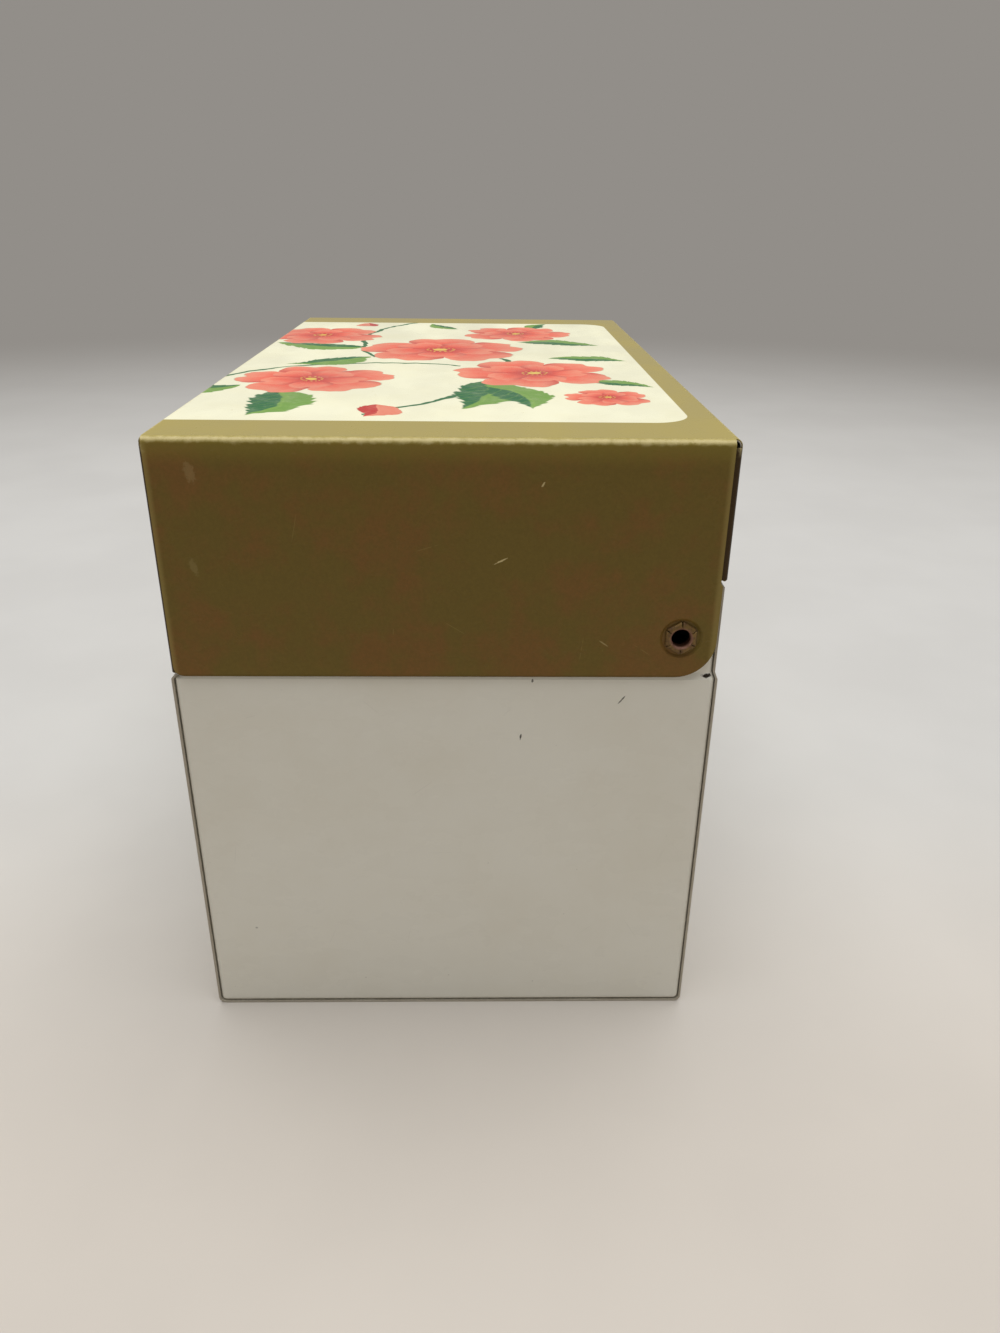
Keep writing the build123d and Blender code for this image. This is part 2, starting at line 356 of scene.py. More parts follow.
def shader_group(name, inputs, outputs):
    """Empty shader group with the sockets that two lists name, and its wires, inputs and outputs."""
    group = bpy.data.node_groups.new(name, "ShaderNodeTree")
    for labels, side in ((inputs, "INPUT"), (outputs, "OUTPUT")):
        for label in labels.split(", "):
            kind = "Vector" if label in VECTORS else "Color" if label in COLOURS else "Float"
            group.interface.new_socket(label, in_out=side, socket_type=f"NodeSocket{kind}")
    wires = Wires(group)
    entry = wires.put("NodeGroupInput").outputs
    result = wires.put("NodeGroupOutput").inputs
    return group, wires, entry, result


def material(name):
    """Empty node material: its wires, its shader, its place in millimetres and its normal."""
    made = bpy.data.materials.new(name)
    made.use_nodes = True
    wires = Wires(made.node_tree)
    shader = made.node_tree.nodes["Principled BSDF"]
    source = wires.put("ShaderNodeTexCoord")
    place = wires.vector("DIVIDE", source.outputs["Object"], (MM, MM, MM))
    return made, wires, shader, place, source.outputs["Normal"]


def edge_distance_group():
    """Distance along a box's surface to its nearest edge: the middle one of the distances to its faces."""
    group, wires, entry, result = shader_group("Box Edge Distance", "Place, Low, High", "Distance")
    to_low = wires.vector("SUBTRACT", entry["Place"], entry["Low"])
    to_high = wires.vector("SUBTRACT", entry["High"], entry["Place"])
    x, y, z = wires.parts(wires.vector("MINIMUM", to_low, to_high))
    nearer = wires.math("MINIMUM", x, y)
    farther = wires.math("MAXIMUM", x, y)
    wires.feed(result["Distance"], wires.math("MAXIMUM", nearer, wires.math("MINIMUM", farther, z)))
    return group


def folded_depth_group():
    """Depth below the outside of a box with rounded bends, from the depths below its flat faces."""
    group, wires, entry, result = shader_group("Folded Depth", "Depths, Radius", "Depth")
    radius = wires.join(entry["Radius"], entry["Radius"], entry["Radius"])
    past = wires.vector("SUBTRACT", radius, entry["Depths"])
    beyond = wires.vector("LENGTH", wires.vector("MAXIMUM", past, (0.0, 0.0, 0.0)))
    x, y, z = wires.parts(past)
    inside = wires.math("MINIMUM", wires.math("MAXIMUM", wires.math("MAXIMUM", x, y), z), 0.0)
    wires.feed(result["Depth"], wires.minus(entry["Radius"], wires.math("ADD", beyond, inside)))
    return group


def face_plane_group():
    """Flat coordinates on whichever face of the box a point lies, shifted so that no two faces match."""
    group, wires, entry, result = shader_group("Face Plane", "Place, Normal", "Flat")
    x, y, z = wires.parts(entry["Place"])
    facing = wires.parts(wires.vector("ABSOLUTE", entry["Normal"]))
    on_end = wires.math("GREATER_THAN", facing[0], FACING)
    on_front = wires.math("GREATER_THAN", facing[1], FACING)
    across = wires.blend(on_end, x, y)
    upward = wires.blend(wires.math("MAXIMUM", on_end, on_front), y, z)
    shift = wires.vector("MULTIPLY", entry["Normal"], (41.0, 67.0, 23.0))
    flat = wires.vector("ADD", wires.join(across, upward), wires.vector("SNAP", shift, (20.0, 20.0, 20.0)))
    wires.feed(result["Flat"], flat)
    return group


def scratches_group():
    """Hairline scratches: one short, slightly bowed line in some of the cells."""
    group, wires, entry, result = shader_group(
        "Hairline Scratches", "Flat, Spacing, Length, Width, Share", "Mask"
    )
    bow_rate = 0.012
    spread = wires.join(entry["Spacing"], entry["Spacing"], entry["Spacing"])
    scaled = wires.vector("DIVIDE", entry["Flat"], spread)
    sockets = {"Vector": scaled, "Scale": 1.0}
    cell = wires.put("ShaderNodeTexVoronoi", sockets, voronoi_dimensions="2D").outputs
    from_middle = wires.vector("MULTIPLY", wires.vector("SUBTRACT", scaled, cell["Position"]), spread)
    luck = wires.parts(cell["Color"])
    turn = wires.product(luck[0], math.pi)
    sockets = {"Vector": from_middle, "Angle": turn}
    turned = wires.put("ShaderNodeVectorRotate", sockets, rotation_type="Z_AXIS").outputs[0]
    along, across, _ = wires.parts(turned)
    bow = wires.product(along, along, wires.minus(luck[2], 0.5), bow_rate)
    off_line = wires.math("ABSOLUTE", wires.math("ADD", across, bow))
    half = wires.product(entry["Length"], wires.math("MULTIPLY_ADD", luck[2], 0.4, 0.1))
    thin = wires.ramp(off_line, entry["Width"], 0.0)
    short = wires.ramp(wires.math("ABSOLUTE", along), half, wires.product(half, 0.5))
    present = wires.math("LESS_THAN", luck[1], entry["Share"])
    wires.feed(result["Mask"], wires.product(thin, short, present))
    return group


def specks_group():
    """Scattered round specks of dust or pinholes."""
    group, wires, entry, result = shader_group("Fine Specks", "Place, Spacing, Size, Share", "Mask")
    spread = wires.join(entry["Spacing"], entry["Spacing"], entry["Spacing"])
    scaled = wires.vector("DIVIDE", entry["Place"], spread)
    cell = wires.put("ShaderNodeTexVoronoi", {"Vector": scaled, "Scale": 1.0}).outputs
    luck = wires.parts(cell["Color"])
    away = wires.product(cell["Distance"], entry["Spacing"])
    size = wires.product(entry["Size"], wires.math("ADD", luck[1], 0.3))
    dot = wires.ramp(away, size, wires.product(size, 0.5))
    wires.feed(result["Mask"], wires.product(dot, wires.math("LESS_THAN", luck[0], entry["Share"])))
    return group


def worn_edge_group():
    """Wear along an edge: a soft rub, which on the lid also carries a painted highlight, and chips that go down
    to the metal.
    """
    group, wires, entry, result = shader_group("Worn Edge", "Place, Distance, Width, Amount", "Rub, Chip")
    rough = wires.noise(entry["Place"], 0.9, 5.0, 0.65)
    reach = wires.product(entry["Width"], wires.product(rough, 2.0))
    wires.feed(result["Rub"], wires.ramp(entry["Distance"], reach, 0.0))
    patch = wires.noise(entry["Place"], 0.13, 3.0, 0.5)
    bite = wires.product(wires.ramp(patch, 0.52, 0.75), entry["Amount"])
    chip_reach = wires.product(bite, entry["Width"], wires.ramp(rough, 0.45, 0.7))
    chip = wires.below(entry["Distance"], chip_reach, 0.04)
    wires.feed(result["Chip"], wires.product(chip, wires.ramp(chip_reach, 0.02, 0.06)))
    return group


def enamel_skin_group():
    """Surface of stoved enamel on thin sheet: slow waves, orange peel and a change of gloss."""
    group, wires, entry, result = shader_group("Enamel Skin", "Place", "Height, Dullness")
    wave = wires.product(wires.noise(entry["Place"], 0.035, 1.0), 0.2)
    peel = wires.product(wires.noise(entry["Place"], 0.75, 2.0), 0.006)
    grain = wires.product(wires.noise(entry["Place"], 4.0, 2.0), 0.0012)
    wires.feed(result["Height"], wires.math("ADD", wave, wires.math("ADD", peel, grain)))
    smear = wires.noise(wires.vector("MULTIPLY", entry["Place"], (0.05, 0.09, 0.16)), 1.0, 4.0, 0.6)
    wires.feed(result["Dullness"], wires.ramp(smear, 0.35, 0.75))
    return group


def tinplate_group():
    """Bare tinplate: rolling streaks along X, a mottled bloom and brown spots of rust."""
    group, wires, entry, result = shader_group(
        "Bare Tinplate", "Place, Tin, Rust", "Colour, Dullness, Height"
    )
    streak = wires.noise(wires.vector("MULTIPLY", entry["Place"], (0.03, 2.2, 2.2)), 1.0, 4.0, 0.6)
    bloom = wires.noise(entry["Place"], 0.12, 4.0, 0.6)
    spots = wires.ramp(wires.noise(entry["Place"], 0.5, 6.0, 0.75), 0.66, 0.76)
    dulled_tin, lined_tin = srgb(188, 181, 166), srgb(158, 153, 143)
    dim = wires.tint(wires.ramp(bloom, 0.3, 0.75), entry["Tin"], dulled_tin)
    lined = wires.tint(wires.product(wires.ramp(streak, 0.3, 0.8), 0.35), dim, lined_tin)
    wires.feed(result["Colour"], wires.tint(wires.product(spots, 0.6), lined, entry["Rust"]))
    wires.feed(result["Dullness"], wires.math("MAXIMUM", wires.ramp(bloom, 0.3, 0.8), spots))
    wires.feed(result["Height"], wires.product(wires.math("ADD", streak, spots), 0.004))
    return group


def motif_place(wires, entry, scale):
    """A motif's own coordinates: from its centre, unturned, and divided by its size."""
    node = wires.put("ShaderNodeMapping", vector_type="TEXTURE")
    wires.feed(node.inputs["Vector"], entry["Place"])
    wires.feed(node.inputs["Location"], entry["Centre"])
    wires.feed(node.inputs["Rotation"], wires.join(0.0, 0.0, entry["Turn"]))
    wires.feed(node.inputs["Scale"], wires.join(scale, scale, 1.0))
    return node.outputs[0]


def mark_group():
    """One mark of wear at a given place: an uneven ellipse."""
    group, wires, entry, result = shader_group("Single Mark", "Place, Centre, Turn, Length, Width", "Mask")
    along, across, _ = wires.parts(motif_place(wires, entry, 1.0))
    along_share = wires.math("DIVIDE", along, entry["Length"])
    across_share = wires.math("DIVIDE", across, entry["Width"])
    place = wires.join(along_share, across_share)
    size = wires.noise(entry["Place"], 2.5, 3.0, 0.7)
    edge = wires.product(size, 0.6)
    wires.feed(result["Mask"], wires.ramp(wires.vector("LENGTH", place), size, edge))
    return group


def blossom_group():
    """A flat five-petalled blossom with a dark throat, notched petals and a ring of stamens."""
    group, wires, entry, result = shader_group(
        "Blossom Motif", "Place, Centre, Turn, Radius, Petal, Rim, Throat, Stamen", "Colour, Mask"
    )
    petals = 5
    x, y, _ = wires.parts(motif_place(wires, entry, entry["Radius"]))
    away = wires.vector("LENGTH", wires.join(x, y))
    around = wires.math("ARCTAN2", y, x)
    within = wires.math("FRACT", wires.product(around, petals / math.tau))
    side = wires.math("ABSOLUTE", wires.minus(wires.product(within, 2.0), 1.0))
    dome = wires.math("SQRT", wires.minus(1.0, wires.product(side, side)))
    notch = wires.product(wires.ramp(side, 0.3, 0.0), 0.09)
    outline = wires.minus(wires.math("MULTIPLY_ADD", dome, 0.36, 0.64), notch)
    wires.feed(result["Mask"], wires.ramp(wires.minus(away, outline), 0.012, -0.012))
    flesh = wires.tint(wires.ramp(away, 0.12, 0.62), entry["Throat"], entry["Petal"])
    share = wires.math("DIVIDE", away, outline)
    lit = wires.tint(wires.product(wires.ramp(share, 0.55, 1.0), 0.75), flesh, entry["Rim"])
    under = wires.product(wires.ramp(within, 0.72, 1.0), wires.ramp(away, 0.2, 0.5), 0.7)
    shaded = wires.tint(under, lit, entry["Throat"])
    streak = wires.ramp(wires.math("SINE", wires.product(around, 55.0)), 0.2, 1.0)
    lined = wires.tint(wires.product(streak, wires.ramp(away, 0.95, 0.3), 0.2), shaded, entry["Throat"])
    ring = wires.ramp(wires.math("ABSOLUTE", wires.minus(away, 0.235)), 0.035, 0.015)
    beads = wires.ramp(wires.math("SINE", wires.product(around, 15.0)), 0.1, 0.5)
    heart = wires.math("MAXIMUM", wires.ramp(away, 0.135, 0.11), wires.product(ring, beads))
    wires.feed(result["Colour"], wires.tint(heart, lined, entry["Stamen"]))
    return group


def leaf_group():
    """A pointed leaf that starts at its centre point: two-toned halves, a midrib and slanting veins."""
    group, wires, entry, result = shader_group(
        "Leaf Motif", "Place, Centre, Turn, Length, Width, Light, Dark", "Colour, Mask"
    )
    x, y, _ = wires.parts(motif_place(wires, entry, entry["Length"]))
    hump = wires.product(x, wires.minus(1.0, x))
    off_rib = wires.minus(y, wires.product(hump, 0.45))
    side = wires.math("ABSOLUTE", off_rib)
    taper = wires.minus(2.6, wires.product(x, 1.2))
    outline = wires.product(hump, wires.math("MAXIMUM", taper, 1.0), entry["Width"])
    tooth = wires.math("FRACT", wires.product(x, 9.0))
    toothed = wires.minus(outline, wires.product(tooth, wires.ramp(hump, 0.0, 0.15), 0.03))
    wires.feed(result["Mask"], wires.below(side, toothed, 0.01))
    halves = wires.ramp(off_rib, -0.02, 0.02)
    toned = wires.tint(wires.product(halves, 0.75), entry["Dark"], entry["Light"])
    slant = wires.math("FRACT", wires.product(wires.minus(x, side), 8.0))
    vein = wires.ramp(wires.math("ABSOLUTE", wires.minus(slant, 0.5)), 0.12, 0.02)
    lines = wires.math("MAXIMUM", wires.product(vein, 0.4), wires.ramp(side, 0.024, 0.01))
    wires.feed(result["Colour"], wires.tint(wires.product(lines, 0.7), toned, entry["Light"]))
    return group


def stem_group():
    """A thin curved stem: part of a circle."""
    group, wires, entry, result = shader_group(
        "Stem Motif", "Place, Centre, Turn, Radius, Sweep, Width", "Mask"
    )
    x, y, _ = wires.parts(motif_place(wires, entry, 1.0))
    away = wires.vector("LENGTH", wires.join(x, y))
    turn = wires.math("ABSOLUTE", wires.math("ARCTAN2", y, x))
    off_line = wires.math("ABSOLUTE", wires.minus(away, entry["Radius"]))
    line = wires.ramp(off_line, entry["Width"], wires.product(entry["Width"], 0.6))
    wires.feed(result["Mask"], wires.product(line, wires.math("LESS_THAN", turn, entry["Sweep"])))
    return group


def flower_spray_group(enamel):
    """The spray: stems, leaves, buds and double blossoms, laid over each other in that order."""
    group, wires, entry, result = shader_group("Flower Spray", "Place", "Colour, Mask")
    drift = wires.noise(entry["Place"], 0.09, 3.0, 0.6, output="Color")
    shift = wires.vector("MULTIPLY", wires.vector("SUBTRACT", drift, (0.5, 0.5, 0.5)), (5.0, 5.0, 0.0))
    place = wires.vector("ADD", entry["Place"], shift)
    blossom, leaf, stem = blossom_group(), leaf_group(), stem_group()
    picture = enamel.leaf_dark
    cover = 0.0
    for (x, y), turn, radius, sweep in STEMS:
        mask = wires.use(
            stem, place=place, centre=(x, y, 0), turn=math.radians(turn), radius=radius,
            sweep=math.radians(sweep), width=0.6,
        )["Mask"]
        cover = wires.math("MAXIMUM", cover, mask)
    leaf_like = (
        (LEAVES, enamel.leaf_light, enamel.leaf_dark),
        (BUDS, enamel.coral_pale, enamel.coral_deep),
    )
    for shapes, light, dark in leaf_like:
        for (x, y), turn, reach, width in shapes:
            motif = wires.use(
                leaf, place=place, centre=(x, y, 0), turn=math.radians(turn), length=reach, width=width,
                light=light, dark=dark,
            )
            picture = wires.tint(motif["Mask"], picture, motif["Colour"])
            cover = wires.math("MAXIMUM", cover, motif["Mask"])
    half_petal = 36
    for (x, y), turn, radius in BLOSSOMS:
        for extra_turn, size in ((0, 1.0), (half_petal, 0.66)):
            motif = wires.use(
                blossom, place=place, centre=(x, y, 0), turn=math.radians(turn + extra_turn),
                radius=radius * size, petal=enamel.coral, rim=enamel.coral_pale,
                throat=enamel.coral_deep, stamen=enamel.stamen,
            )
            picture = wires.tint(motif["Mask"], picture, motif["Colour"])
            cover = wires.math("MAXIMUM", cover, motif["Mask"])
    wash = wires.ramp(wires.noise(entry["Place"], 0.35, 5.0, 0.7), 0.4, 0.85)
    washed = wires.tint(wires.product(wash, 0.15), picture, enamel.cream)
    wires.feed(result["Colour"], washed)
    wires.feed(result["Mask"], cover)
    return group


def rounded_panel_group():
    """Inside of a rectangle with rounded corners."""
    group, wires, entry, result = shader_group("Rounded Panel", "Place, Middle, Half size, Corner", "Mask")
    corner = wires.join(entry["Corner"], entry["Corner"])
    from_middle = wires.vector("ABSOLUTE", wires.vector("SUBTRACT", entry["Place"], entry["Middle"]))
    past = wires.vector("SUBTRACT", from_middle, wires.vector("SUBTRACT", entry["Half size"], corner))
    x, y, _ = wires.parts(wires.vector("MAXIMUM", past, (0.0, 0.0, 0.0)))
    wires.feed(result["Mask"], wires.below(wires.vector("LENGTH", wires.join(x, y)), entry["Corner"], 0.06))
    return group


class Finishes:
    """The shader groups that several finishes share, each built once."""

    def __init__(self):
        self.edge_distance = edge_distance_group()
        self.folded_depth = folded_depth_group()
        self.face_plane = face_plane_group()
        self.scratches = scratches_group()
        self.specks = specks_group()
        self.worn_edge = worn_edge_group()
        self.skin = enamel_skin_group()
        self.tinplate = tinplate_group()
        self.mark = mark_group()


@cache
def shared_finishes():
    """The one set of shared groups, built when it is first asked for."""
    return Finishes()


def add_marks(wires, finishes, place, on_end, paint, marks, ink):
    """Paints single marks onto the right end."""
    x, y, z = wires.parts(place)
    flat = wires.join(y, z)
    shown = wires.product(on_end, wires.math("GREATER_THAN", x, 0.0))
    for (across, up), turn, reach, width, strength in marks:
        mask = wires.use(
            finishes.mark, place=flat, centre=(across, up, 0), turn=math.radians(turn),
            length=reach, width=width,
        )["Mask"]
        paint = wires.tint(wires.product(mask, shown, strength), paint, ink)
    return paint


def paint_tin(wires, shader, place, normal, finishes, enamel, look):
    """Joins paint and metal; look holds the paint's colour, the bare and cut masks, and the wear, whose rub
    colour on the lid is also a painted highlight.
    """
    flat = wires.use(finishes.face_plane, place=place, normal=normal)["Flat"]
    skin = wires.use(finishes.skin, place=place)
    edge = wires.use(
        finishes.worn_edge, place=place, distance=look["edge"], width=look["wear"], amount=look["chips"]
    )
    fine = wires.use(finishes.scratches, flat=flat, spacing=13.0, length=5.0, width=0.07, share=0.4)["Mask"]
    long = wires.use(finishes.scratches, flat=flat, spacing=37.0, length=24.0, width=0.06, share=0.3)["Mask"]
    scratch = wires.math("MAXIMUM", fine, wires.product(long, 0.5))
    speck = wires.use(finishes.specks, place=place, spacing=2.3, size=0.16, share=0.35)["Mask"]
    metal = wires.use(finishes.tinplate, place=place, tin=enamel.tin, rust=enamel.rust)

    # On the lid the rub colour is partly a painted highlight along the bends round the top.
    rubbed = wires.tint(wires.product(edge["Rub"], look["rub"]), look["paint"], look["rubbed"])
    scuffed = wires.tint(wires.product(scratch, look["scratch"]), rubbed, look["scratched"])
    specked = wires.tint(wires.product(speck, 0.5), scuffed, look["speck"])
    chip = wires.product(edge["Chip"], wires.minus(1.0, look["bare"]))
    bare = wires.math("MAXIMUM", look["bare"], chip)
    surface = wires.tint(bare, specked, wires.tint(chip, metal["Colour"], enamel.rust))
    wires.feed(shader.inputs["Base Color"], wires.tint(look["raw"], surface, enamel.raw_edge))

    metallic = wires.product(bare, wires.minus(0.55, wires.product(chip, 0.4)))
    wires.feed(shader.inputs["Metallic"], wires.math("MAXIMUM", metallic, wires.product(look["raw"], 0.1)))
    scuff = wires.product(wires.math("ADD", scratch, speck), 0.2)
    dull_paint = wires.math("ADD", wires.blend(skin["Dullness"], 0.22, 0.38), scuff)
    dull_metal = wires.blend(metal["Dullness"], 0.3, 0.55)
    dullness = wires.blend(bare, dull_paint, dull_metal)
    wires.feed(shader.inputs["Roughness"], wires.math("MAXIMUM", dullness, wires.product(look["raw"], 0.5)))
    shader.inputs["Specular IOR Level"].default_value = 0.12

    cut = wires.product(wires.math("ADD", scratch, wires.product(chip, 3.0)), 0.008)
    bead = wires.product(speck, 0.01)
    paint_height = wires.math("ADD", wires.minus(skin["Height"], cut), bead)
    height = wires.math("ADD", wires.blend(bare, paint_height, metal["Height"]), look["relief"])
    bump = wires.put("ShaderNodeBump", {"Height": height, "Distance": MM, "Strength": 1.0})
    wires.feed(shader.inputs["Normal"], bump.outputs["Normal"])


def from_hinge(wires, y, z):
    """Distance from the hinge's axis."""
    return wires.vector("LENGTH", wires.vector("SUBTRACT", wires.join(0.0, y, z), (0.0, PIVOT.y, PIVOT.z)))


def base_bare_mask(wires, finishes, place, is_end):
    """Unpainted back of the base's sheet; the folded hems are painted."""
    x, y, z = wires.parts(place)
    low, high = (END_LOW, END_HIGH) if is_end else (WRAP_LOW, WRAP_HIGH)
    inset = SHEET + LAY_GAP if is_end else 0.0
    up_slope = wires.math("DIVIDE", wires.minus(z, SHOULDER), SHOULDER_RISE)
    in_neck = wires.math("MINIMUM", wires.math("MAXIMUM", up_slope, 0.0), 1.0)
    front = wires.blend(in_neck, low.y, NECK_FRONT + inset)
    rear = wires.blend(in_neck, high.y, NECK_REAR - inset)
    end_face = wires.blend(in_neck, high.x, NECK_HALF) if is_end else high.x + OPEN_DEPTH
    depths = wires.join(
        wires.minus(end_face, wires.math("ABSOLUTE", x)),
        wires.math("MINIMUM", wires.minus(y, front), wires.minus(rear, y)),
        wires.minus(z, low.z),
    )
    bend = END_BEND if is_end else BASE_BEND
    depth = wires.use(finishes.folded_depth, depths=depths, radius=bend)["Depth"]
    hem = wires.product(wires.above(z, WRAP_HIGH.z - HEM_DEPTH), HEM_INSET)
    return wires.above(depth, wires.math("ADD", hem, SHEET / 2))


def white_material(name, enamel, finishes, is_end):
    """Off-white enamel of the base, bare inside, with the cut ends of its wall sheet."""
    made, wires, shader, place, normal = material(name)
    on_end = wires.above(wires.math("ABSOLUTE", wires.parts(normal)[0]), FACING, 0.1)
    bare = base_bare_mask(wires, finishes, place, is_end)
    raw = 0.0 if is_end else on_end
    white = enamel.white
    mottle = wires.ramp(wires.noise(place, 0.08, 4.0, 0.6), 0.3, 0.8)
    yellowed = wires.tint(mottle, white, shade(white, 0.965, 0.955, 0.935))
    grime = srgb(52, 46, 38)
    paint = yellowed
    if is_end:
        paint = add_marks(wires, finishes, place, on_end, yellowed, DARK_MARKS, grime)
    edge = wires.use(finishes.edge_distance, place=place, low=WRAP_LOW, high=WRAP_HIGH)["Distance"]
    paint_tin(
        wires, shader, place, normal, finishes, enamel,
        {
            "paint": paint, "bare": bare, "raw": raw, "edge": edge, "relief": 0.0,
            "wear": 0.5, "chips": 0.8, "rub": 0.25, "rubbed": shade(white, 0.8),
            "scratch": 0.2, "scratched": shade(white, 0.6), "speck": shade(white, 0.62),
        },
    )
    return made


def lid_bare_mask(wires, finishes, y, z, far_x, rearward):
    """Unpainted back of the lid's sheet; the recesses round the eyelets and the folded hems are painted."""
    sunk = wires.ramp(from_hinge(wires, y, z), DIMPLE_MOUTH, DIMPLE_FLOOR, 0.0, DIMPLE_DEPTH)
    hem_top = wires.blend(rearward, LID_LOW.z + HEM_DEPTH, LID_HIGH.z - REAR_SKIRT_DEPTH + HEM_DEPTH)
    hem = wires.product(wires.below(z, hem_top), HEM_INSET)
    depths = wires.join(
        wires.minus(wires.minus(LID_HIGH.x, sunk), far_x),
        wires.minus(wires.minus(LID_HIGH.y, hem), wires.math("ABSOLUTE", y)),
        wires.minus(LID_HIGH.z, z),
    )
    depth = wires.use(finishes.folded_depth, depths=depths, radius=LID_BEND)["Depth"]
    return wires.above(depth, SHEET / 2)


def printed_panel(wires, place, enamel):
    """The cream panel with its spray, and the mask of where it lies."""
    x, y, z = wires.parts(place)
    down = wires.minus(LID_HIGH.z, z)
    on_skirt = wires.math("GREATER_THAN", wires.math("ABSOLUTE", y), LID_HIGH.y - LID_BEND)
    run = wires.product(down, on_skirt, wires.math("SIGN", y))
    flat = wires.join(x, wires.math("ADD", y, run))
    mask = wires.use(
        rounded_panel_group(), place=flat, corner=PANEL_CORNER,
        middle=(0.0, (PANEL_REAR + PANEL_FRONT) / 2, 0.0),
        half_size=(PANEL_HALF, (PANEL_REAR - PANEL_FRONT) / 2, 0.0),
    )["Mask"]
    spray = wires.use(flower_spray_group(enamel), place=flat)
    cream = enamel.cream
    yellowing = wires.ramp(wires.noise(place, 0.12, 3.0), 0.35, 0.75)
    ground = wires.tint(yellowing, cream, shade(cream, 0.99, 0.98, 0.95))
    return wires.tint(spray["Mask"], ground, spray["Colour"]), mask


def olive_material(enamel, finishes):
    """Olive enamel of the lid with its printed panel, bare inside; the top's olive, the band under the top
    bends, the plates' rims and the rubbed bends carry painted highlights, and the plates' lower edges and the
    corner seams painted shade.
    """
    made, wires, shader, place, normal = material("olive_print")
    x, y, z = wires.parts(place)
    far_x = wires.math("ABSOLUTE", x)
    on_end = wires.above(wires.math("ABSOLUTE", wires.parts(normal)[0]), FACING, 0.1)
    rearward = wires.math("GREATER_THAN", y, 0.0)
    down = wires.minus(LID_HIGH.z, z)
    below_bend = wires.above(down, LID_BEND)
    cut_edge = wires.product(wires.above(far_x, LID_HIGH.x - SHEET + 0.02), wires.minus(1.0, on_end))
    raw = wires.product(cut_edge, below_bend)

    inside_plate = wires.blend(rearward, wires.minus(y, PLATE_FRONT), wires.minus(PLATE_REAR, y))
    corner = wires.product(wires.above(far_x, CORNER_START, 0.05), wires.below(far_x, LID_HIGH.x - SHEET))
    seam = wires.product(corner, wires.below(inside_plate, 0.05))
    unpainted = lid_bare_mask(wires, finishes, y, z, far_x, rearward)
    bare = wires.product(unpainted, wires.minus(1.0, seam))
    # Painted highlight: the last 0.9 mm of each end plate's front and rear edges is lightened.
    rim = wires.product(wires.ramp(inside_plate, 0.9, 0.1), on_end)
    # Painted shade: the end plates darken within 0.5 mm of their lower edges.
    under = wires.product(wires.ramp(wires.minus(z, LID_LOW.z), 0.5, 0.0), on_end)

    blotch = wires.ramp(wires.noise(place, 0.11, 5.0, 0.62), 0.42, 0.66)
    aged = wires.tint(wires.product(blotch, 0.9), enamel.olive, enamel.olive_brown)
    fine = wires.ramp(wires.noise(place, 2.4, 4.0, 0.75), 0.3, 0.7)
    mottled = wires.tint(wires.product(fine, 0.4), aged, shade(enamel.olive, 0.66))
    # Painted highlight: 0.7 to 4 mm below the top the olive is lightened towards the lit green olive.
    top_band_lit = wires.tint(wires.product(wires.ramp(down, 4.0, 0.7), 0.6), mottled, enamel.lit_olive_green)
    rim_highlighted = wires.tint(wires.product(rim, 0.4), top_band_lit, enamel.olive_rim_highlight_and_scratch)
    lower_edge_shaded = wires.tint(wires.product(under, 0.5), rim_highlighted, shade(enamel.olive, 0.5))
    scraped = srgb(206, 188, 136)
    marked = add_marks(wires, finishes, place, on_end, lower_edge_shaded, PALE_MARKS, scraped)
    # Painted light: the top face inside the bends takes the lit copy of the olive.
    olive_with_lit_top = wires.tint(wires.ramp(down, 0.8, 0.1), marked, enamel.lit_olive_top)
    picture, panel = printed_panel(wires, place, enamel)
    # Painted shade: below the top bends, the corner strips beside the end plates take the dark seam colour.
    seam_shade = wires.product(seam, below_bend)
    paint = wires.tint(seam_shade, wires.tint(panel, olive_with_lit_top, picture), enamel.seam)

    edge = wires.use(finishes.edge_distance, place=place, low=LID_LOW, high=LID_HIGH)["Distance"]
    relief = wires.product(wires.noise(place, 0.35, 2.0), wires.ramp(edge, 2.2, 0.0), 0.1)
    # The rub near the top bends is both wear and a painted highlight.
    upper = wires.ramp(down, 2.5, 1.0, 0.0, 0.85)
    paint_tin(
        wires, shader, place, normal, finishes, enamel,
        {
            "paint": paint, "bare": bare, "raw": raw, "edge": edge, "relief": relief,
            "wear": 0.85, "chips": 0.35, "rub": upper, "rubbed": enamel.olive_rubbed_and_highlight,
            "scratch": 0.3, "scratched": enamel.olive_rim_highlight_and_scratch, "speck": enamel.olive_rim_highlight_and_scratch,
        },
    )
    return made


def eyelet_material(enamel):
    """Tarnished eyelets: copper in the throat, dull petals, and rust in the bore and the splits."""
    made, wires, shader, place, _ = material("eyelet_copper")
    x, y, z = wires.parts(place)
    proud = wires.minus(EYELET_HIGH.x, wires.math("ABSOLUTE", x))
    away = from_hinge(wires, y, z)
    grime = wires.ramp(wires.noise(place, 1.4, 6.0, 0.7), 0.38, 0.64)
    dull = wires.tint(wires.product(grime, 0.7), enamel.petal, enamel.rust)
    throat = wires.ramp(away, 1.75, 1.4)
    metal = wires.tint(throat, dull, enamel.copper)
    deep = wires.ramp(proud, 0.3, 0.75)
    wires.feed(shader.inputs["Base Color"], wires.tint(wires.product(deep, 0.9), metal, enamel.rust))
    wires.feed(shader.inputs["Metallic"], wires.blend(wires.math("MAXIMUM", grime, deep), 0.6, 0.2))
    wires.feed(shader.inputs["Roughness"], wires.blend(grime, 0.4, 0.7))
    pits = wires.product(wires.noise(place, 5.0, 4.0, 0.7), 0.03)
    bump = wires.put("ShaderNodeBump", {"Height": pits, "Distance": MM, "Strength": 1.0})
    wires.feed(shader.inputs["Normal"], bump.outputs["Normal"])
    return made


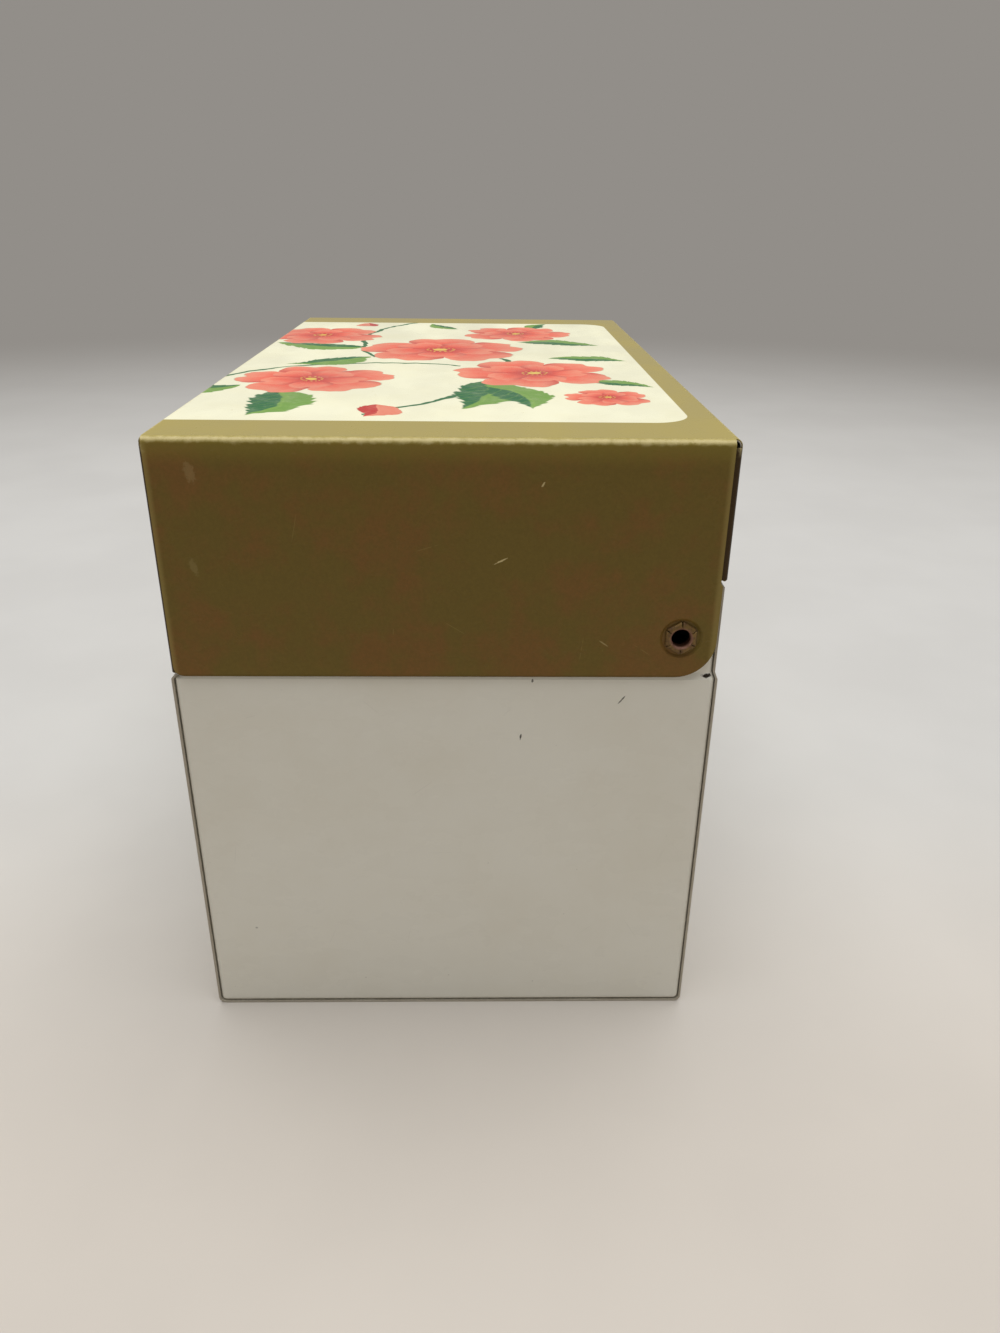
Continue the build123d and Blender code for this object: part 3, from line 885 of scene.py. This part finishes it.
def finish_node(name, made):
    """Gives a piece of the frame its finish."""
    mesh = frame["nodes"][name].data
    mesh.materials.clear()
    mesh.materials.append(made)


def arc(centre, radius, start, sweep, steps):
    """Points along an arc, its start left out; angles in radians."""
    turns = (start + sweep * step / steps for step in range(1, steps + 1))
    return [(centre[0] + radius * math.cos(turn), centre[1] + radius * math.sin(turn)) for turn in turns]


def eyelet_profile(eyelets):
    """Middle line of an eyelet's wall, from the rim of its head to the tip of the roll."""
    wall, barrel, roll = eyelets.wall / MM, eyelets.barrel / MM, eyelets.roll / MM
    inner_bend = 0.05  # inside radius of the turn from head to barrel
    bend_steps, roll_steps = 8, 24
    bend = wall / 2 + inner_bend
    height = EYELET_HIGH.x - EYELET_LOW.x - wall - roll
    points = [(eyelets.head / MM, 0.0), (barrel + bend, 0.0)]
    points += arc((barrel + bend, bend), bend, -math.pi / 2, -math.pi / 2, bend_steps)
    points.append((barrel, height))
    points += arc((barrel + roll, height), roll, math.pi, -eyelets.turn, roll_steps)
    mesh = bpy.data.meshes.new("eyelet_profile")
    edges = [(index, index + 1) for index in range(len(points) - 1)]
    mesh.from_pydata([(radius, 0.0, up) for radius, up in points], edges, [])
    return mesh, height


def eyelet_tree():
    """Turns the profile into one sector of an eyelet, with a straight petal at its end, and repeats it."""
    points_along, points_across = 72, 13
    curl_start, curl_end = 0.04, 0.34  # past the bore, where a petal begins to straighten and where it has
    weld = 0.002
    tree = bpy.data.node_groups.new("rolled_eyelet", "GeometryNodeTree")
    inputs = (
        ("Profile", "NodeSocketGeometry"),
        ("Petals", "NodeSocketInt"),
        ("Root Radius", "NodeSocketFloat"),
        ("Root Height", "NodeSocketFloat"),
        ("Split Width", "NodeSocketFloat"),
        ("Material", "NodeSocketMaterial"),
    )
    names = {name: tree.interface.new_socket(name, in_out="INPUT", socket_type=kind) for name, kind in inputs}
    tree.interface.new_socket("Eyelet", in_out="OUTPUT", socket_type="NodeSocketGeometry")
    wires = Wires(tree)
    entry = wires.put("NodeGroupInput").outputs
    line = wires.put("GeometryNodeMeshToCurve", {"Mesh": entry["Profile"]}).outputs["Curve"]
    even = wires.put("GeometryNodeResampleCurve", {"Curve": line, "Count": points_along}).outputs["Curve"]
    size = {"Size X": 1.0, "Size Y": 1.0, "Vertices X": points_along, "Vertices Y": points_across}
    grid = wires.put("GeometryNodeMeshGrid", size).outputs["Mesh"]
    share, across, _ = wires.parts(wires.put("GeometryNodeInputPosition").outputs[0])
    along = wires.math("ADD", share, 0.5)
    sample = wires.put(
        "GeometryNodeSampleCurve", {"Curves": even, "Factor": along}, mode="FACTOR", use_all_curves=True
    )
    radius, _, height = wires.parts(sample.outputs["Position"])
    sector = wires.math("DIVIDE", math.tau, entry["Petals"])
    half = wires.product(sector, 0.5)
    turn = wires.product(across, sector)
    cosine, sine = wires.math("COSINE", turn), wires.math("SINE", turn)

    # The bore is round. Over the roll a petal straightens, and each of its sides keeps half a split's
    # width away from the edge of its sector.
    past_root = wires.minus(radius, entry["Root Radius"])
    in_roll = wires.math("GREATER_THAN", height, wires.product(entry["Root Height"], 0.5))
    rolled = wires.product(wires.ramp(past_root, curl_start, curl_end), in_roll)
    root = wires.product(entry["Root Radius"], wires.minus(1.0, wires.math("COSINE", half)), 0.5)
    outward = wires.minus(radius, root)
    gap = wires.math("DIVIDE", wires.product(entry["Split Width"], 0.5), wires.math("SINE", half))
    width = wires.product(wires.minus(outward, gap), wires.math("TANGENT", half), 2.0)
    spot = wires.join(
        height,
        wires.blend(rolled, wires.product(radius, cosine), outward),
        wires.blend(rolled, wires.product(radius, sine), wires.product(width, across)),
    )
    shaped = wires.put("GeometryNodeSetPosition", {"Geometry": grid, "Position": spot}).outputs[0]
    hub = wires.put("GeometryNodePoints", {"Count": entry["Petals"]}).outputs[0]
    index = wires.put("GeometryNodeInputIndex").outputs[0]
    spin = wires.join(wires.product(index, sector), 0.0, 0.0)
    copies = {"Points": hub, "Instance": shaped, "Rotation": spin}
    ring = wires.put("GeometryNodeInstanceOnPoints", copies).outputs[0]
    whole = wires.put("GeometryNodeRealizeInstances", {"Geometry": ring}).outputs[0]
    merged = wires.put("GeometryNodeMergeByDistance", {"Geometry": whole, "Distance": weld}).outputs[0]
    smooth = wires.put("GeometryNodeSetShadeSmooth", {"Geometry": merged}).outputs[0]
    finish = {"Geometry": smooth, "Material": entry["Material"]}
    dressed = wires.put("GeometryNodeSetMaterial", finish).outputs[0]
    wires.feed(wires.put("NodeGroupOutput").inputs["Eyelet"], dressed)
    return tree, {name: socket.identifier for name, socket in names.items()}


def make_eyelet(name, side, tree, sockets, metal, eyelets):
    """One eyelet as a plain mesh in its place; side is 1 at the right end and -1 at the left."""
    profile, root_height = eyelet_profile(eyelets)
    maker = bpy.data.objects.new(name, profile)
    bpy.context.scene.collection.objects.link(maker)
    modifier = maker.modifiers.new("rolled_eyelet", "NODES")
    modifier.node_group = tree
    modifier[sockets["Petals"]] = eyelets.petals
    modifier[sockets["Root Radius"]] = eyelets.barrel / MM
    modifier[sockets["Root Height"]] = root_height
    modifier[sockets["Split Width"]] = eyelets.split / MM
    modifier[sockets["Material"]] = metal
    wall = maker.modifiers.new("wall", "SOLIDIFY")
    wall.thickness = eyelets.wall / MM
    wall.offset = 0.0
    depsgraph = bpy.context.evaluated_depsgraph_get()
    mesh = bpy.data.meshes.new_from_object(maker.evaluated_get(depsgraph), depsgraph=depsgraph)
    bpy.data.objects.remove(maker)
    mesh.name = name
    place = Vector((side * (EYELET_LOW.x + eyelets.wall / MM / 2), PIVOT.y, PIVOT.z)) * MM
    turn = Matrix.Rotation(0.0 if side > 0 else math.pi, 4, "Z")
    mesh.transform(Matrix.Translation(place) @ turn @ Matrix.Scale(MM, 4))
    eyelet = bpy.data.objects.new(name, mesh)
    bpy.context.scene.collection.objects.link(eyelet)
    return eyelet


class CARDBOX_OT_base(bpy.types.Operator):
    """Finish the base's wall sheet and end panels"""

    bl_idname = "cardbox.base"
    bl_label = "Finish Base"

    def execute(self, context):
        enamel = context.scene.cardbox_enamel
        finishes = shared_finishes()
        finish_node("base_wrap", white_material("white_wall", enamel, finishes, is_end=False))
        end = white_material("white_end", enamel, finishes, is_end=True)
        for name in ("base_end_right", "base_end_left"):
            finish_node(name, end)
        return {"FINISHED"}


class CARDBOX_OT_lid(bpy.types.Operator):
    """Finish the lid with olive enamel and its printed panel"""

    bl_idname = "cardbox.lid"
    bl_label = "Finish Lid"

    def execute(self, context):
        finish_node("lid_shell", olive_material(context.scene.cardbox_enamel, shared_finishes()))
        return {"FINISHED"}


class CARDBOX_OT_eyelets(bpy.types.Operator):
    """Make the rolled hinge eyelets"""

    bl_idname = "cardbox.eyelets"
    bl_label = "Make Hinge Eyelets"

    def execute(self, context):
        eyelets = context.scene.cardbox_eyelets
        metal = eyelet_material(context.scene.cardbox_enamel)
        tree, sockets = eyelet_tree()
        for name, side in (("right", 1), ("left", -1)):
            eyelet = make_eyelet(f"rolled_eyelet_{name}", side, tree, sockets, metal, eyelets)
            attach(eyelet, "base")
            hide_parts(f"hinge_eyelet_{name}")
        return {"FINISHED"}


def make_floor(studio):
    """A wide round floor whose colour fades into the backdrop's."""
    radius = 4.0
    sides = 96
    fade_start, fade_end = 170.0, 870.0
    near_start, near_end = -20.0, 110.0
    mesh = bpy.data.meshes.new("floor")
    turns = [math.tau * side / sides for side in range(sides)]
    rim = [(radius * math.cos(turn), radius * math.sin(turn), 0.0) for turn in turns]
    mesh.from_pydata(rim, [], [range(sides)])
    floor = bpy.data.objects.new("floor", mesh)
    bpy.context.scene.collection.objects.link(floor)
    made, wires, shader, place, _ = material("floor_paper")
    fade = wires.ramp(wires.vector("LENGTH", place), fade_start, fade_end)
    near = wires.ramp(wires.parts(place)[0], near_start, near_end)
    ground = wires.tint(near, studio.floor, studio.floor_near)
    grain = wires.ramp(wires.noise(place, 0.02, 3.0), 0.3, 0.7)
    clouded = wires.tint(wires.product(grain, 0.08), ground, studio.distance)
    wires.feed(shader.inputs["Base Color"], wires.tint(fade, clouded, (0.0, 0.0, 0.0)))
    wires.feed(shader.inputs["Emission Color"], wires.tint(fade, (0.0, 0.0, 0.0), studio.distance))
    shader.inputs["Emission Strength"].default_value = 1.0
    shader.inputs["Roughness"].default_value = 0.9
    shader.inputs["Specular IOR Level"].default_value = 0.0
    mesh.materials.append(made)


def make_world(studio):
    """Even light from all round; straight and in reflections it shows as the backdrop."""
    world = bpy.data.worlds.new("studio")
    bpy.context.scene.world = world
    world.use_nodes = True
    wires = Wires(world.node_tree)
    path = wires.put("ShaderNodeLightPath").outputs
    mirrored = wires.math("MAXIMUM", path["Is Glossy Ray"], path["Is Transmission Ray"])
    seen = wires.math("MAXIMUM", path["Is Camera Ray"], mirrored)
    background = world.node_tree.nodes["Background"]
    wires.feed(background.inputs["Color"], wires.tint(seen, (1.0, 1.0, 1.0), studio.distance))
    wires.feed(background.inputs["Strength"], wires.blend(seen, studio.sky, 1.0))


def make_sun(studio):
    """Soft key light from overhead, a little from the rear."""
    data = bpy.data.lights.new("key", "SUN")
    data.energy = studio.sun
    data.angle = studio.sun_size
    sun = bpy.data.objects.new("key", data)
    sun.rotation_euler = (-studio.sun_side, -studio.sun_lean, 0.0)
    bpy.context.scene.collection.objects.link(sun)


def make_camera(studio):
    """Camera at the photograph's viewpoint."""
    data = bpy.data.cameras.new("camera")
    data.lens = studio.lens
    data.sensor_width = 36.0
    data.clip_start = 0.005
    data.clip_end = 50.0
    down, aside, roll = studio.camera_down, studio.camera_aside, studio.camera_roll
    forward = Vector((-math.cos(down) * math.cos(aside), -math.cos(down) * math.sin(aside), -math.sin(down)))
    level = forward.cross(Vector((0.0, 0.0, 1.0))).normalized()
    upward = level.cross(forward)
    right = math.cos(roll) * level + math.sin(roll) * upward
    up = math.cos(roll) * upward - math.sin(roll) * level
    camera = bpy.data.objects.new("camera", data)
    turn = Matrix((right, up, -forward)).transposed().to_4x4()
    camera.matrix_world = Matrix.Translation(studio.camera_place) @ turn
    bpy.context.scene.collection.objects.link(camera)
    bpy.context.scene.camera = camera


class CARDBOX_OT_stage(bpy.types.Operator):
    """Set up the floor, the lights and the camera"""

    bl_idname = "cardbox.stage"
    bl_label = "Set Up Stage"

    def execute(self, context):
        studio = context.scene.cardbox_studio
        make_floor(studio)
        make_world(studio)
        make_sun(studio)
        make_camera(studio)
        context.scene.view_settings.view_transform = "Standard"
        return {"FINISHED"}


class CARDBOX_PT_panel(bpy.types.Panel):
    """The box's pieces, with their sizes and colours"""

    bl_idname = "CARDBOX_PT_panel"
    bl_label = "Card Box"
    bl_space_type = "VIEW_3D"
    bl_region_type = "UI"
    bl_category = "Card Box"

    def draw(self, context):
        for operator in OPERATORS:
            self.layout.operator(operator.bl_idname)
        scene = context.scene
        for settings in (scene.cardbox_enamel, scene.cardbox_eyelets, scene.cardbox_studio):
            column = self.layout.column(align=True)
            for name in settings.bl_rna.properties.keys():
                if name not in ("rna_type", "name"):
                    column.prop(settings, name)


OPERATORS = (CARDBOX_OT_stage, CARDBOX_OT_base, CARDBOX_OT_lid, CARDBOX_OT_eyelets)
CLASSES = (CardBoxEnamel, CardBoxEyelets, CardBoxStudio, *OPERATORS, CARDBOX_PT_panel)


def register():
    for cls in CLASSES:
        bpy.utils.register_class(cls)
    bpy.types.Scene.cardbox_enamel = PointerProperty(type=CardBoxEnamel)
    bpy.types.Scene.cardbox_eyelets = PointerProperty(type=CardBoxEyelets)
    bpy.types.Scene.cardbox_studio = PointerProperty(type=CardBoxStudio)


def unregister():
    del bpy.types.Scene.cardbox_studio
    del bpy.types.Scene.cardbox_eyelets
    del bpy.types.Scene.cardbox_enamel
    for cls in reversed(CLASSES):
        bpy.utils.unregister_class(cls)


def main():
    register()
    bpy.ops.cardbox.stage()
    bpy.ops.cardbox.base()
    bpy.ops.cardbox.lid()
    bpy.ops.cardbox.eyelets()


if __name__ == "__main__":
    main()
